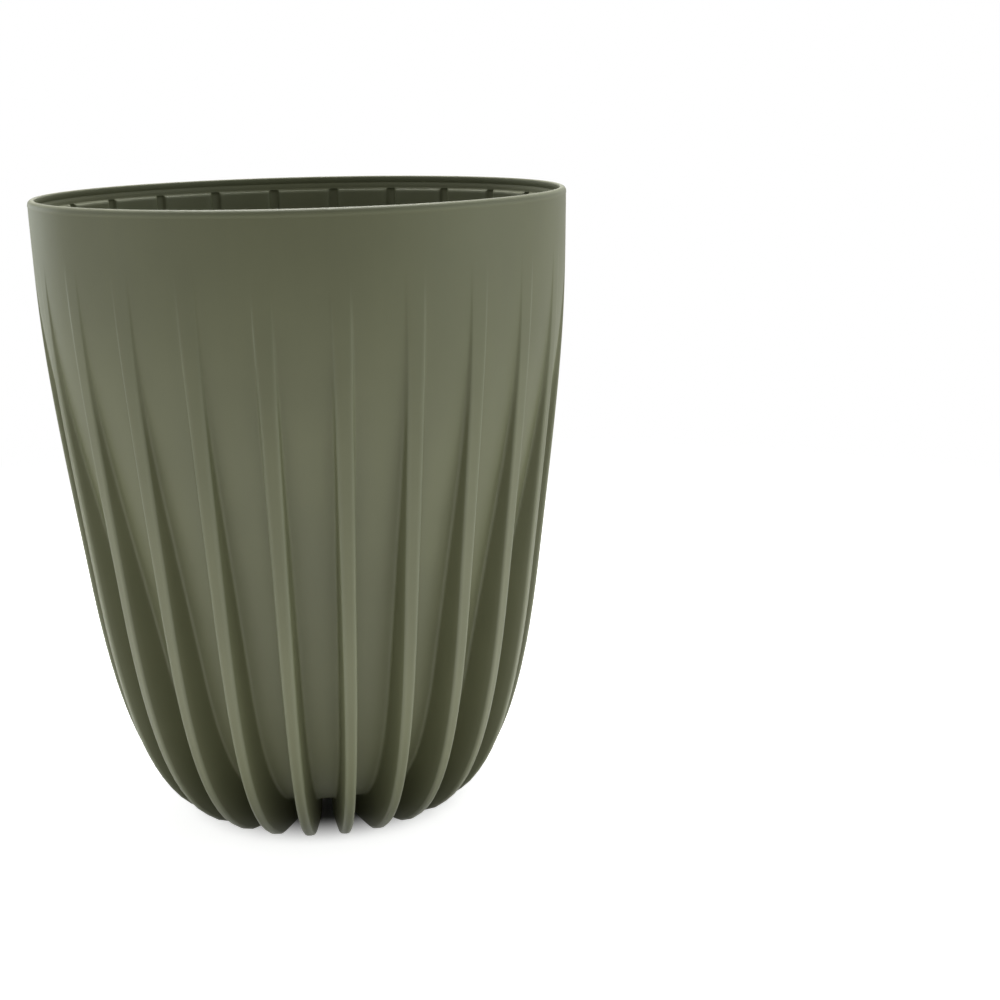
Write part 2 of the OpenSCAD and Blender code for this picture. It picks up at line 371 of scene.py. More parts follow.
@dataclass
class FinnedShell:
    """The olive outer moulding: lip, smooth band, hollow fins, floor and standing ribs."""

    profiles: PlanterProfiles
    fin_count: int = 24
    fin_top_width: float = 9 * MM
    fin_foot_width: float = 5 * MM
    hollow_top_width: float = 4.6 * MM
    hollow_foot_width: float = 1.2 * MM
    fin_edge_wall: float = 2.2 * MM
    drain_radius: float = 10 * MM
    edge_round: float = 1.4 * MM
    root_round: float = 1.4 * MM
    foot_round: float = 6.5 * MM
    foot_edge_round: float = 1.9 * MM
    foot_edge_reach: float = 9 * MM
    hollow_round: float = 1.4 * MM
    lip_height: float = 3 * MM
    lip_outer_round: float = 2.2 * MM
    lip_step: float = 0.25 * MM
    lip_outer_step: float = 0.14 * MM
    side_draft: float = 0.1 * MM
    lip_drops: tuple[float, ...] = (5.5, 2.5, 1.0, -0.5)
    band_start: float = 2.5
    tip_share: float = 0.8
    depth_share: float = 0.45
    rib_end_slope: float = 4 * MM
    foot_split: float = 1.2 * MM
    floor_corner_round: float = 5 * MM
    floor_ring: float = 20 * MM
    hollow_foot_inset: float = 6 * MM
    hollow_end_slope: float = 2 * MM
    edge_points_cut: int = 12
    wall_points_cut: int = 10
    main_rows: int = 44
    foot_rows: int = 11
    inner_rows: int = 12

    def half_width(self, height: np.ndarray, side: Side) -> np.ndarray:
        """Gives half the width of a fin, or of its hollow, at some heights."""
        top, foot = ((self.fin_top_width, self.fin_foot_width) if side is Side.OUTSIDE
                     else (self.hollow_top_width, self.hollow_foot_width))
        share = np.clip(height / (self.profiles.height - self.profiles.band_depth), 0.0, 1.0)
        return (foot + (top - foot) * share) / 2

    def section(self, core: np.ndarray, edge: np.ndarray, side: Side) -> np.ndarray:
        """Gives one row of the mesh across one fin, from groove middle to groove middle.

        Args:
            core: Radius and height of the wall between the fins.
            edge: Radius and height of the fin's edge, or of its hollow's end.
            side: Whether the row lies outside or inside.

        Returns:
            The points, with the fin's middle plane at y = 0.
        """
        outside = side is Side.OUTSIDE
        depth = float(np.linalg.norm(edge - core))
        root, tip = (self.root_round, self.edge_round) if outside else (self.hollow_round,) * 2
        quarter = np.linspace(0.0, math.pi / 2, 5)
        width = float(self.half_width(np.array([edge[1]]), side)[0])
        if outside:
            tip += (self.foot_edge_round - tip) * max(0.0, 1.0 - edge[1] / self.foot_edge_reach)
        tip = min(tip, self.tip_share * width)
        root_deep, tip_deep = (min(size, self.depth_share * depth) for size in (root, tip))
        across = np.concatenate([
            -(width + self.side_draft + root) + root * np.sin(quarter),
            np.linspace(-(width + self.side_draft), -(width - self.side_draft), 4)[1:-1],
            -(width - self.side_draft) + tip - tip * np.cos(quarter),
            np.linspace(-(width - self.side_draft) + tip, 0.0, 3)[1:]])
        deep = np.concatenate([
            root_deep - root_deep * np.cos(quarter),
            np.linspace(root_deep, depth - tip_deep, 4)[1:-1],
            depth - tip_deep + tip_deep * np.sin(quarter),
            np.full(2, depth)])
        share = deep / depth if depth > TINY else np.zeros_like(deep)
        along = core[None, :] + share[:, None] * (edge - core)[None, :]
        reach = np.sqrt(np.maximum(along[:, 0] ** 2 - across ** 2, 0.0))
        start = math.asin(min(LARGEST_SINE, abs(across[0]) / core[0]))
        turn = np.linspace(-math.pi / self.fin_count, -start, 6)[:-1]
        groove = np.column_stack([core[0] * np.cos(turn), core[0] * np.sin(turn), np.full_like(turn, core[1])])
        flank = np.column_stack([reach, across, along[:, 1]])
        half = np.vstack([groove, flank])
        mirrored = half[-2:0:-1] * np.array([1, -1, 1])
        return np.vstack([half, mirrored])

    def ring(self, core: np.ndarray, edge: np.ndarray, side: Side) -> np.ndarray:
        """Repeats a section round the planter."""
        x, y, z = self.section(core, edge, side).T
        rows = []
        for i in range(self.fin_count):
            turn = math.radians((i + 0.5) * 360 / self.fin_count - 90)
            c, s = math.cos(turn), math.sin(turn)
            rows.append(np.column_stack([x * c - y * s, x * s + y * c, z]))
        return np.vstack(rows)

    def lip(self) -> np.ndarray:
        """Gives the lip's bead and the fine step below it on both sides, from inside to outside."""
        p = self.profiles
        turn = np.linspace(0.0, math.pi / 2, 8)[:, None]
        crown = np.array([p.rim_radius - self.lip_outer_round, p.height])
        small, large = p.lip_thickness - self.lip_outer_round, self.lip_outer_round
        inside = crown + small * np.hstack([-np.cos(turn), np.sin(turn) - 1])
        outside = crown + large * np.hstack([np.sin(turn), np.cos(turn) - 1])
        drops = self.lip_height + self.lip_step * np.array(self.lip_drops)
        steps = np.array([0.0, 1.0, 1.0, 0.0])
        below = np.column_stack([p.inner_radius + self.lip_step * steps, p.height - drops])
        beside = np.column_stack([p.rim_radius - self.lip_outer_step * steps, p.height - drops])[:0:-1]
        return np.vstack([below, inside, outside[1:], beside])

    def outside_rows(self) -> list[Row]:
        """Pairs the wall between the fins with the fins' edges, from the lip down to the drain hole.

        Returns:
            A point of the wall and a point of the fin's edge for each row of the mesh.
        """
        p = self.profiles
        rib_end = (p.rib_end_radius - self.rib_end_slope, p.floor_height)
        foot, cut = p.fin_edge(0.0), self.edge_points_cut
        ground = rounded([tuple(foot[-cut]), (p.foot_radius, 0.0), (p.rib_end_radius, 0.0), rib_end],
                         self.foot_round)
        half = int(np.argmin(np.abs(ground[:, 0] - (p.foot_radius - self.foot_split)) + np.abs(ground[:, 1])))
        edge_main = spread(np.vstack([foot[:-cut], ground[:half + 1]]), self.main_rows)
        edge_foot = spread(ground[half:], self.foot_rows)
        wall, cut = p.core(0.0), self.wall_points_cut
        corner = rounded([tuple(wall[-cut]), tuple(wall[-1]), rib_end], self.floor_corner_round)
        middle = len(corner) // 2
        core_main = spread(np.vstack([wall[:-cut], corner[:middle + 1]]), self.main_rows)
        core_foot = spread(corner[middle:], self.foot_rows)
        drop = self.band_start * self.lip_height
        band_top = [p.rim_radius - drop * math.tan(math.radians(p.band_draft)), p.height - drop]
        rows = [(x, x) for x in np.vstack([self.lip(), np.linspace(band_top, p.band_end, 5)])]
        rows += list(zip(core_main[1:], edge_main[1:]))
        rows += list(zip(core_foot[1:], edge_foot[1:]))
        rows += [(np.array([r, p.floor_height]),) * 2 for r in (self.floor_ring, self.drain_radius)]
        return rows

    def inside_rows(self) -> list[Row]:
        """Pairs the inside of the wall with the ends of the hollows, from the drain hole up to the lip.

        Returns:
            A point of the wall and a point of the hollow's end for each row of the mesh.
        """
        p = self.profiles
        ledge = p.height - p.ledge_depth
        bore = p.bore(0.0)
        below = bore[(bore[:, 1] < ledge - p.ledge_step) & (bore[:, 1] > p.floor_top)]
        wall = spread(np.vstack([[[p.bore_radius, ledge - p.ledge_step]], below,
                                 [[p.bore_at(p.floor_top, 0.0), p.floor_top]]]), self.inner_rows)
        edge = p.fin_edge(self.fin_edge_wall)
        edge = edge[edge[:, 1] > self.fin_edge_wall]
        top_radius = p.rim_radius - p.ledge_depth * math.tan(math.radians(p.band_draft)) - self.fin_edge_wall
        ends = spread(np.vstack([[[top_radius, ledge - p.ledge_step]], edge,
                                 [[p.foot_radius - self.hollow_foot_inset, self.fin_edge_wall]]]),
                      self.inner_rows)
        rows = [(np.array([r, p.floor_top]),) * 2
                for r in (self.drain_radius, self.floor_ring, p.rib_end_radius)]
        hollow_end = np.array([p.rib_end_radius + self.hollow_end_slope, self.fin_edge_wall])
        rows.append((wall[-1] * 0.5 + rows[-1][0] * 0.5, hollow_end))
        rows += list(zip(wall[::-1], ends[::-1]))
        # The ledge is drawn in parts of its own step.
        step = p.ledge_step
        rows += [(np.array([p.bore_radius, ledge - step / 4]), np.array([top_radius, ledge])),
                 (np.array([p.bore_radius + step / 5, ledge]),
                  np.array([top_radius - step / 8, ledge + step / 4])),
                 (np.array([p.inner_radius - step / 2, ledge + step / 8]),
                  np.array([p.inner_radius, ledge + step / 3])),
                 *((np.array([p.inner_radius, ledge + rise * step]),) * 2 for rise in (0.5, 0.75, 1.2))]
        return rows

    def build(self) -> bpy.types.Object:
        """Builds the shell as one closed mesh.

        Returns:
            The new piece, which stands for the shell's solid.
        """
        rings = [self.ring(core, edge, Side.OUTSIDE) for core, edge in self.outside_rows()]
        rings += [self.ring(core, edge, Side.INSIDE) for core, edge in self.inside_rows()]
        count = len(rings[0])
        number = np.arange(len(rings) * count).reshape(len(rings), count)
        above = np.roll(number, -1, axis=0)
        beside, above_beside = np.roll(number, -1, axis=1), np.roll(above, -1, axis=1)
        faces = np.stack([number, beside, above_beside, above], axis=-1).reshape(-1, 4).tolist()
        piece = mesh_object("shell_moulding", np.vstack(rings), faces)
        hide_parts("finned_shell")
        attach(piece, "root")
        return piece


@dataclass
class InnerPot:
    """The smooth, glossy pot that follows the taper of the shell with a small clearance."""

    profiles: PlanterProfiles
    insert: "DrainageInsert"
    cup_drain_radius: float = 8.5 * MM
    grille_drain_radius: float = 11 * MM
    corner_round: float = 4 * MM
    corner_end: float = 30 * MM
    point_stride: int = 3

    def outline(self) -> np.ndarray:
        """Gives the closed outline of the pot from the axis, over its rim and back to the axis."""
        p = self.profiles
        rim = p.height - p.pot_rim_depth
        outer = p.bore_radius - p.pot_clearance
        low, top = self.insert.stand_height - p.pot_wall, self.insert.stand_height
        sides = []
        for extra, end in ((0.0, low), (p.pot_wall, top)):
            clearance = p.pot_clearance + extra
            curve = p.bore(clearance)
            curve = curve[(curve[:, 1] < rim - p.pot_wall) & (curve[:, 1] > end + self.corner_round)]
            corner = rounded([tuple(curve[-1]), (p.bore_at(end, clearance), end), (self.corner_end, end)],
                             self.corner_round)
            sides.append(np.vstack([curve[::self.point_stride], corner]))
        lip = lip_arc(outer, outer - p.pot_wall, rim, LIP_STEPS)
        return np.vstack([[[0.0, low]], sides[0][::-1], lip, sides[1], [[0.0, top]]])

    def build(self) -> bpy.types.Object:
        """Builds the pot and cuts the openings in its floor.

        Returns:
            The new piece, which stands for the pot's solid.
        """
        piece = lathe("inner_pot_moulding", self.outline(), LARGE_TURN_STEPS)
        above = self.insert
        holes = [(a, above.cup_offset, self.cup_drain_radius) for a in above.cup_angles]
        holes += [(a, above.grille_offset, self.grille_drain_radius) for a in above.grille_angles]
        combine(piece, [above.plug(*hole, above.stand_height) for hole in holes], "DIFFERENCE")
        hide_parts("inner_pot")
        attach(piece, "root")
        return piece


@dataclass
class DrainageInsert:
    """The dark plate with three perforated cups and three round grilles."""

    profiles: PlanterProfiles
    depth: float = 169 * MM
    gap: float = 2.4 * MM
    wall: float = 2 * MM
    bead_height: float = 3.6 * MM
    cup_depth: float = 45 * MM
    cup_margin: float = 31.3 * MM
    cup_mouth_radius: float = 17.5 * MM
    cup_floor_radius: float = 12.3 * MM
    cup_hole_radius: float = 7.3 * MM
    ring_height: float = 0.8 * MM
    ring_width: float = 3 * MM
    hole_radius: float = 1 * MM
    hole_columns: int = 8
    hole_rows: int = 3
    grille_margin: float = 23.3 * MM
    slot_width: float = 4.3 * MM
    bar_width: float = 1.8 * MM
    slot_count: int = 4
    mark_radius: float = 11.5 * MM
    mark_depth: float = 0.6 * MM
    mark_slope: float = 0.5 * MM
    bead_slope: float = 0.4 * MM
    cup_outer_round: float = 0.8 * MM
    cup_inner_round: float = 0.6 * MM
    cup_flare: float = 1 * MM
    flare_over: float = 0.05 * MM
    edge_round: float = 0.25 * MM
    sharp_angle: float = 38
    first_row_share: float = 0.28
    next_row_share: float = 0.22
    pin_inset: float = 4 * MM
    pin_length: float = 16 * MM
    slot_end: float = 1.5 * MM
    plug_reach: float = 6 * MM
    cutter_over: float = 5 * MM
    cup_angles: tuple[float, ...] = (30.0, 150.0, 270.0)
    grille_angles: tuple[float, ...] = (90.0, 210.0, 330.0)

    @property
    def top(self) -> float:
        """Height of the plate's upper face."""
        return self.profiles.height - self.depth

    @property
    def plate_radius(self) -> float:
        """Radius of the plate's edge."""
        p = self.profiles
        return p.bore_at(self.top, p.pot_clearance + p.pot_wall) - self.gap

    @property
    def cup_offset(self) -> float:
        """Distance of the cups from the axis."""
        return self.plate_radius - self.cup_margin

    @property
    def grille_offset(self) -> float:
        """Distance of the grilles from the axis."""
        return self.plate_radius - self.grille_margin

    @property
    def stand_height(self) -> float:
        """Height on which the cups stand."""
        return self.top - self.cup_depth - self.wall

    def plug(self, angle: float, offset: float, radius: float, height: float) -> bpy.types.Object:
        """Makes a short upright cylinder that cuts a hole.

        Args:
            angle: Where the hole is round the axis, in degrees.
            offset: Its distance from the axis.
            radius: Radius of the hole.
            height: Height of its middle.

        Returns:
            The cutter.
        """
        low, high = height - self.plug_reach, height + self.plug_reach
        outline = np.array([[0, low], [radius, low], [radius, high], [0, high]])
        return self.placed(lathe("plug", outline, HOLE_TURN_STEPS), angle, offset)

    def placed(self, piece: bpy.types.Object, angle: float, offset: float) -> bpy.types.Object:
        """Moves a piece's mesh out from the axis and turns it round the axis."""
        turn = Matrix.Rotation(math.radians(angle), 4, "Z")
        piece.data.transform(turn @ Matrix.Translation((offset, 0, 0)))
        return piece

    def cup(self, angle: float) -> bpy.types.Object:
        """Makes the outside of one cup with the low ring round its mouth."""
        mouth, floor = self.cup_mouth_radius + self.wall, self.cup_floor_radius + self.wall
        ring, high = mouth + self.ring_width, self.top + self.ring_height
        side = rounded([(0.0, self.stand_height), (floor, self.stand_height), (mouth, self.top - self.wall),
                        (ring, self.top - self.wall / 2), (ring, self.top), (mouth, high),
                        (self.cup_mouth_radius, high), (0.0, high)], self.cup_outer_round, 3)
        return self.placed(lathe("cup", side, CUP_TURN_STEPS), angle, self.cup_offset)

    def cup_hollow(self, angle: float) -> bpy.types.Object:
        """Makes the solid that hollows one cup and opens its floor."""
        low, mouth = self.top - self.cup_depth, self.top + self.ring_height
        under, over = self.stand_height - self.cutter_over, mouth + self.cutter_over
        hole, r = self.cup_hole_radius, self.cup_mouth_radius
        wide = r + self.cup_flare
        side = rounded([(0.0, under), (hole, under), (hole, low), (self.cup_floor_radius, low),
                        (r, self.top - self.cup_flare), (wide, mouth + self.flare_over), (wide, over),
                        (0.0, over)], self.cup_inner_round, 3)
        return self.placed(lathe("cup_hollow", side, CUP_TURN_STEPS), angle, self.cup_offset)

    def cutter(self, name: str, work: bmesh.types.BMesh, angle: float, offset: float) -> bpy.types.Object:
        """Turns a working mesh into a cutter at its place, and frees the working mesh."""
        mesh = bpy.data.meshes.new(name)
        work.to_mesh(mesh)
        work.free()
        return self.placed(in_scene(name, mesh), angle, offset)

    def perforations(self, angle: float) -> bpy.types.Object:
        """Makes the pins that cut the rows of small holes in one cup's wall."""
        pins = bmesh.new()
        for row in range(self.hole_rows):
            height = self.top - self.cup_depth * (self.first_row_share + self.next_row_share * row)
            for column in range(self.hole_columns):
                turn = Matrix.Rotation(2 * math.pi * (column + 0.5) / self.hole_columns, 4, "Z")
                place = turn @ Matrix.Translation((self.cup_floor_radius + self.pin_inset, 0, height))
                bmesh.ops.create_cone(pins, cap_ends=True, segments=PIN_TURN_STEPS, radius1=self.hole_radius,
                                      radius2=self.hole_radius, depth=self.pin_length,
                                      matrix=place @ Matrix.Rotation(math.pi / 2, 4, "Y"))
        return self.cutter("pins", pins, angle, self.cup_offset)

    def grille(self, angle: float) -> bpy.types.Object:
        """Makes the slots of one grille, which run outwards and fill a circle."""
        half = (self.slot_count * self.slot_width + (self.slot_count - 1) * self.bar_width) / 2
        work = bmesh.new()
        for i in range(self.slot_count):
            low = i * (self.slot_width + self.bar_width) - half
            high = low + self.slot_width
            across = np.linspace(low, high, 9)
            reach = np.sqrt(np.maximum(half ** 2 - across ** 2, self.slot_end ** 2))
            edge = list(zip(reach, across))
            outline = edge + [(-x, y) for x, y in reversed(edge)]
            low_ring = [work.verts.new((x, y, self.top - self.cutter_over)) for x, y in outline]
            high_ring = [work.verts.new((x, y, self.top + self.cutter_over)) for x, y in outline]
            work.faces.new(low_ring[::-1])
            work.faces.new(high_ring)
            for a in range(len(outline)):
                b = (a + 1) % len(outline)
                work.faces.new((low_ring[a], low_ring[b], high_ring[b], high_ring[a]))
        bmesh.ops.recalc_face_normals(work, faces=work.faces)
        return self.cutter("slots", work, angle, self.grille_offset)

    def plate(self) -> bpy.types.Object:
        """Makes the round plate with the bead round its edge and the shallow mark in its middle."""
        radius = self.plate_radius
        low, bead = self.top - self.wall, self.top + self.wall / 4
        inside = radius - self.wall
        crown = lip_arc(radius, inside, bead, LIP_STEPS)
        mark = self.top - self.mark_depth
        inner = [(inside - self.bead_slope, self.top), (self.mark_radius + self.mark_slope, self.top),
                 (self.mark_radius, mark), (0.0, mark)]
        side = [(0.0, low), (inside, low), (inside, self.top - self.bead_height),
                (radius, self.top - self.bead_height)]
        return lathe("drainage_plate", np.vstack([side, crown, inner]), LARGE_TURN_STEPS)

    def build(self) -> bpy.types.Object:
        """Builds the insert as one moulding.

        Returns:
            The new piece, which stands for the insert's solid.
        """
        piece = self.plate()
        combine(piece, [self.cup(a) for a in self.cup_angles], "UNION")
        cutters = [self.cup_hollow(a) for a in self.cup_angles]
        cutters += [self.perforations(a) for a in self.cup_angles]
        cutters += [self.grille(a) for a in self.grille_angles]
        combine(piece, cutters, "DIFFERENCE")
        soften(piece, self.edge_round, self.sharp_angle)
        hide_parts("drainage_insert")
        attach(piece, "root")
        return piece


class NodeGroup:
    """A shader node group under construction, with named sockets."""

    def __init__(self, name: str) -> None:
        """Starts an empty group.

        Args:
            name: Name of the group.
        """
        self.tree = bpy.data.node_groups.new(name, "ShaderNodeTree")
        self.start = self.tree.nodes.new("NodeGroupInput")
        self.end = self.tree.nodes.new("NodeGroupOutput")

    def takes(self, name: str, kind: str, value: object) -> None:
        """Adds an input socket with a starting value."""
        socket = self.tree.interface.new_socket(name=name, in_out="INPUT", socket_type=kind)
        socket.default_value = value

    def gives(self, name: str, kind: str) -> None:
        """Adds an output socket."""
        self.tree.interface.new_socket(name=name, in_out="OUTPUT", socket_type=kind)

    def node(self, kind: str, **settings: object) -> bpy.types.Node:
        """Adds a node and sets its properties."""
        made = self.tree.nodes.new(kind)
        for key, value in settings.items():
            setattr(made, key, value)
        return made

    def join(self, source: bpy.types.NodeSocket, target: bpy.types.NodeSocket) -> None:
        """Joins two sockets."""
        self.tree.links.new(source, target)

    def math(self, operation: str, first: object, second: object = 0.0) -> bpy.types.NodeSocket:
        """Adds a calculation.

        Args:
            operation: Name of the calculation.
            first: A socket or a number.
            second: A socket or a number.

        Returns:
            The result's socket.
        """
        made = self.node("ShaderNodeMath", operation=operation)
        for value, socket in ((first, made.inputs[0]), (second, made.inputs[1])):
            if isinstance(value, (int, float)):
                socket.default_value = value
            else:
                self.join(value, socket)
        return made.outputs[0]

    def noise(self, place: bpy.types.NodeSocket, scale: bpy.types.NodeSocket,
              detail: float) -> bpy.types.NodeSocket:
        """Adds a noise pattern.

        Args:
            place: Where the pattern is read.
            scale: How often it repeats in a metre.
            detail: How many finer layers it has.

        Returns:
            The pattern's socket, from 0 to 1.
        """
        made = self.node("ShaderNodeTexNoise")
        made.inputs["Detail"].default_value = detail
        self.join(place, made.inputs["Vector"])
        self.join(scale, made.inputs["Scale"])
        return made.outputs["Fac"]

    def rise(self, value: bpy.types.NodeSocket, low: float, high: float) -> bpy.types.NodeSocket:
        """Adds a straight rise from 0 to 1 between two values, and gives its socket."""
        made = self.node("ShaderNodeMapRange")
        made.inputs["From Min"].default_value, made.inputs["From Max"].default_value = low, high
        self.join(value, made.inputs["Value"])
        return made.outputs[0]

    def blend(self, **sources: bpy.types.NodeSocket) -> bpy.types.NodeSocket:
        """Adds a mix of colour A and colour B by Factor, and gives its socket."""
        made = self.node("ShaderNodeMix", data_type="RGBA")
        for name, source in sources.items():
            self.join(source, made.inputs[name])
        return made.outputs["Result"]


RIPPLE_SCALE = 0.06
FLOW_SCALE = 5.0
FLOW_STRETCH = (1.0, 1.0, 0.12)
PATCH_SHARE = 0.65
FLOW_SHARE = 0.35
TONE_RANGE = (0.38, 0.62)
# Pointiness range over which sharp edges take the painted highlight colour.
EDGE_RANGE = (0.505, 0.535)


def grain_group() -> bpy.types.NodeTree:
    """Builds the fine grain that a mould leaves in plastic.

    Returns:
        A group that gives a height from -1 to 1 for a grain size in metres.
    """
    group = NodeGroup("mould_grain")
    group.takes("Grain Size", "NodeSocketFloat", 0.0005)
    group.takes("Ripple Share", "NodeSocketFloat", 0.3)
    group.gives("Height", "NodeSocketFloat")
    place = group.node("ShaderNodeTexCoord").outputs["Object"]
    fine_scale = group.math("DIVIDE", 1.0, group.start.outputs["Grain Size"])
    fine = group.noise(place, fine_scale, detail=2.0)
    ripple = group.noise(place, group.math("MULTIPLY", fine_scale, RIPPLE_SCALE), detail=1.0)
    centred = group.math("SUBTRACT", fine, 0.5)
    wave = group.math("MULTIPLY", group.math("SUBTRACT", ripple, 0.5), group.start.outputs["Ripple Share"])
    group.join(group.math("MULTIPLY", group.math("ADD", centred, wave), 2.0), group.end.inputs["Height"])
    return group.tree


def tone_group() -> bpy.types.NodeTree:
    """Builds the slight unevenness of colour and gloss in moulded plastic.

    Returns:
        A group that mixes two colours in soft patches and drawn-out flow marks, lightens the
        sharp edges towards the Edge colour as a painted highlight, and gives the colour and a roughness.
    """
    group = NodeGroup("mould_tone")
    for name, grey in (("Light", 0.5), ("Dark", 0.4), ("Edge", 0.6)):
        group.takes(name, "NodeSocketColor", (grey, grey, grey, 1))
    for name, value in (("Patch Size", 0.05), ("Edge Amount", 0.5), ("Roughness", 0.5),
                        ("Roughness Spread", 0.08), ("Edge Polish", 0.1)):
        group.takes(name, "NodeSocketFloat", value)
    group.gives("Color", "NodeSocketColor")
    group.gives("Roughness", "NodeSocketFloat")
    place = group.node("ShaderNodeTexCoord").outputs["Object"]
    scale = group.math("DIVIDE", 1.0, group.start.outputs["Patch Size"])
    given = group.start.outputs
    patch = group.noise(place, scale, detail=3.0)
    stretch = group.node("ShaderNodeMapping")
    stretch.inputs["Scale"].default_value = FLOW_STRETCH
    group.join(place, stretch.inputs["Vector"])
    flow = group.noise(stretch.outputs[0], group.math("MULTIPLY", scale, FLOW_SCALE), detail=4.0)
    both = group.math("ADD", group.math("MULTIPLY", patch, PATCH_SHARE),
                      group.math("MULTIPLY", flow, FLOW_SHARE))
    mixed = group.blend(Factor=group.rise(both, *TONE_RANGE), A=given["Dark"], B=given["Light"])
    # Sharp edges are mixed towards the Edge colour: a painted highlight where rounded edges catch the lamps.
    sharp = group.rise(group.node("ShaderNodeNewGeometry").outputs["Pointiness"], *EDGE_RANGE)
    painted_edge_highlight = group.math("MULTIPLY", sharp, given["Edge Amount"])
    group.join(group.blend(Factor=painted_edge_highlight, A=mixed, B=given["Edge"]), group.end.inputs["Color"])
    uneven = group.math("MULTIPLY", group.math("SUBTRACT", flow, 0.5), given["Roughness Spread"])
    matte = group.math("ADD", given["Roughness"], uneven)
    polish = group.math("MULTIPLY", sharp, given["Edge Polish"])
    group.join(group.math("SUBTRACT", matte, polish), group.end.inputs["Roughness"])
    return group.tree


@dataclass(frozen=True)
class MouldedFinish:
    """A moulded plastic surface."""

    name: str
    light: str
    dark: str
    # Colour of the painted highlight on sharp edges.
    edge: str
    roughness: float
    roughness_spread: float
    specular: float
    grain_size: float
    grain_depth: float
    ripple_share: float
    patch_size: float
    edge_amount: float
    edge_polish: float
    coat: float = 0.0
    coat_roughness: float = 0.08

    def material(self, grain: bpy.types.NodeTree, tone: bpy.types.NodeTree) -> bpy.types.Material:
        """Builds the material.

        Args:
            grain: The group that gives the grain's height.
            tone: The group that gives colour and roughness.

        Returns:
            The new material.
        """
        made = bpy.data.materials.new(self.name)
        made.use_nodes = True
        tree = made.node_tree
        shader = tree.nodes["Principled BSDF"]
        colour, height, bump = add_nodes(tree, "Group", "Group", "Bump")
        colour.node_tree, height.node_tree = tone, grain
        light, dark, edge = ((*srgb(text), 1.0) for text in (self.light, self.dark, self.edge))
        for node, values in (
                (shader, {"Specular IOR Level": self.specular, "Coat Weight": self.coat,
                          "Coat Roughness": self.coat_roughness}),
                (colour, {"Light": light, "Dark": dark, "Edge": edge, "Patch Size": self.patch_size,
                          "Edge Amount": self.edge_amount, "Edge Polish": self.edge_polish,
                          "Roughness": self.roughness, "Roughness Spread": self.roughness_spread}),
                (height, {"Grain Size": self.grain_size, "Ripple Share": self.ripple_share}),
                (bump, {"Distance": self.grain_depth})):
            for key, value in values.items():
                node.inputs[key].default_value = value
        tree.links.new(colour.outputs["Roughness"], shader.inputs["Roughness"])
        wire(tree, (colour, shader, "Base Color"), (height, bump, "Height"), (bump, shader, "Normal"))
        return made


# The third colour of each finish is the painted highlight on its sharp edges.
SHELL_FINISH = MouldedFinish("matte_olive_plastic", "6e7053", "686a4e", "85896f", 0.58, 0.10, 0.5,
                             0.45 * MM, 0.02 * MM, 0.3, 60 * MM, 0.3, 0.12)
POT_FINISH = MouldedFinish("glossy_dark_olive_plastic", "40463a", "3a4033", "4a5042", 0.16, 0.06, 0.5,
                           0.9 * MM, 0.008 * MM, 0.6, 70 * MM, 0.3, 0.04, 0.2)
INSERT_FINISH = MouldedFinish("satin_brown_black_plastic", "2b2723", "25211d", "3d3832", 0.5, 0.12, 0.3,
                              0.5 * MM, 0.012 * MM, 0.4, 40 * MM, 0.5, 0.12)


COOL: Colour = (0.92, 1.0, 0.96)


@dataclass(frozen=True)
class SoftBox:
    """A large soft lamp."""

    name: str
    place: tuple[float, float, float]
    aim: tuple[float, float, float]
    width: float
    height: float
    power: float
    tint: Colour = (1.0, 1.0, 1.0)

    def light(self) -> bpy.types.Object:
        """Hangs the lamp and points it at its aim.

        Returns:
            The lamp.
        """
        lamp = bpy.data.lights.new(self.name, "AREA")
        lamp.shape = "RECTANGLE"
        lamp.size, lamp.size_y, lamp.energy, lamp.color = self.width, self.height, self.power, self.tint
        made = in_scene(self.name, lamp)
        made.location = self.place
        way = Vector(self.aim) - Vector(self.place)
        made.rotation_euler = way.to_track_quat("-Z", "Y").to_euler()
        return made


def add_nodes(tree: bpy.types.NodeTree, *kinds: str) -> list[bpy.types.Node]:
    """Adds one shader node of each kind named."""
    return [tree.nodes.new("ShaderNode" + kind) for kind in kinds]


def wire(tree: bpy.types.NodeTree, *steps: tuple[bpy.types.Node, bpy.types.Node, int | str]) -> None:
    """Joins the first output of one node to an input of the next, for each step."""
    for source, target, key in steps:
        tree.links.new(source.outputs[0], target.inputs[key])


def seen_mask(tree: bpy.types.NodeTree) -> bpy.types.NodeSocket:
    """Adds a mask that is 1 for what the camera sees directly, in a reflection or through glass.

    Args:
        tree: The node tree to add it to.

    Returns:
        The mask's socket.
    """
    path, *steps = add_nodes(tree, "LightPath", "Math", "Math")
    value = path.outputs["Is Camera Ray"]
    for either, name in zip(steps, ("Is Glossy Ray", "Is Transmission Ray")):
        either.operation = "MAXIMUM"
        tree.links.new(value, either.inputs[0])
        tree.links.new(path.outputs[name], either.inputs[1])
        value = either.outputs[0]
    return value


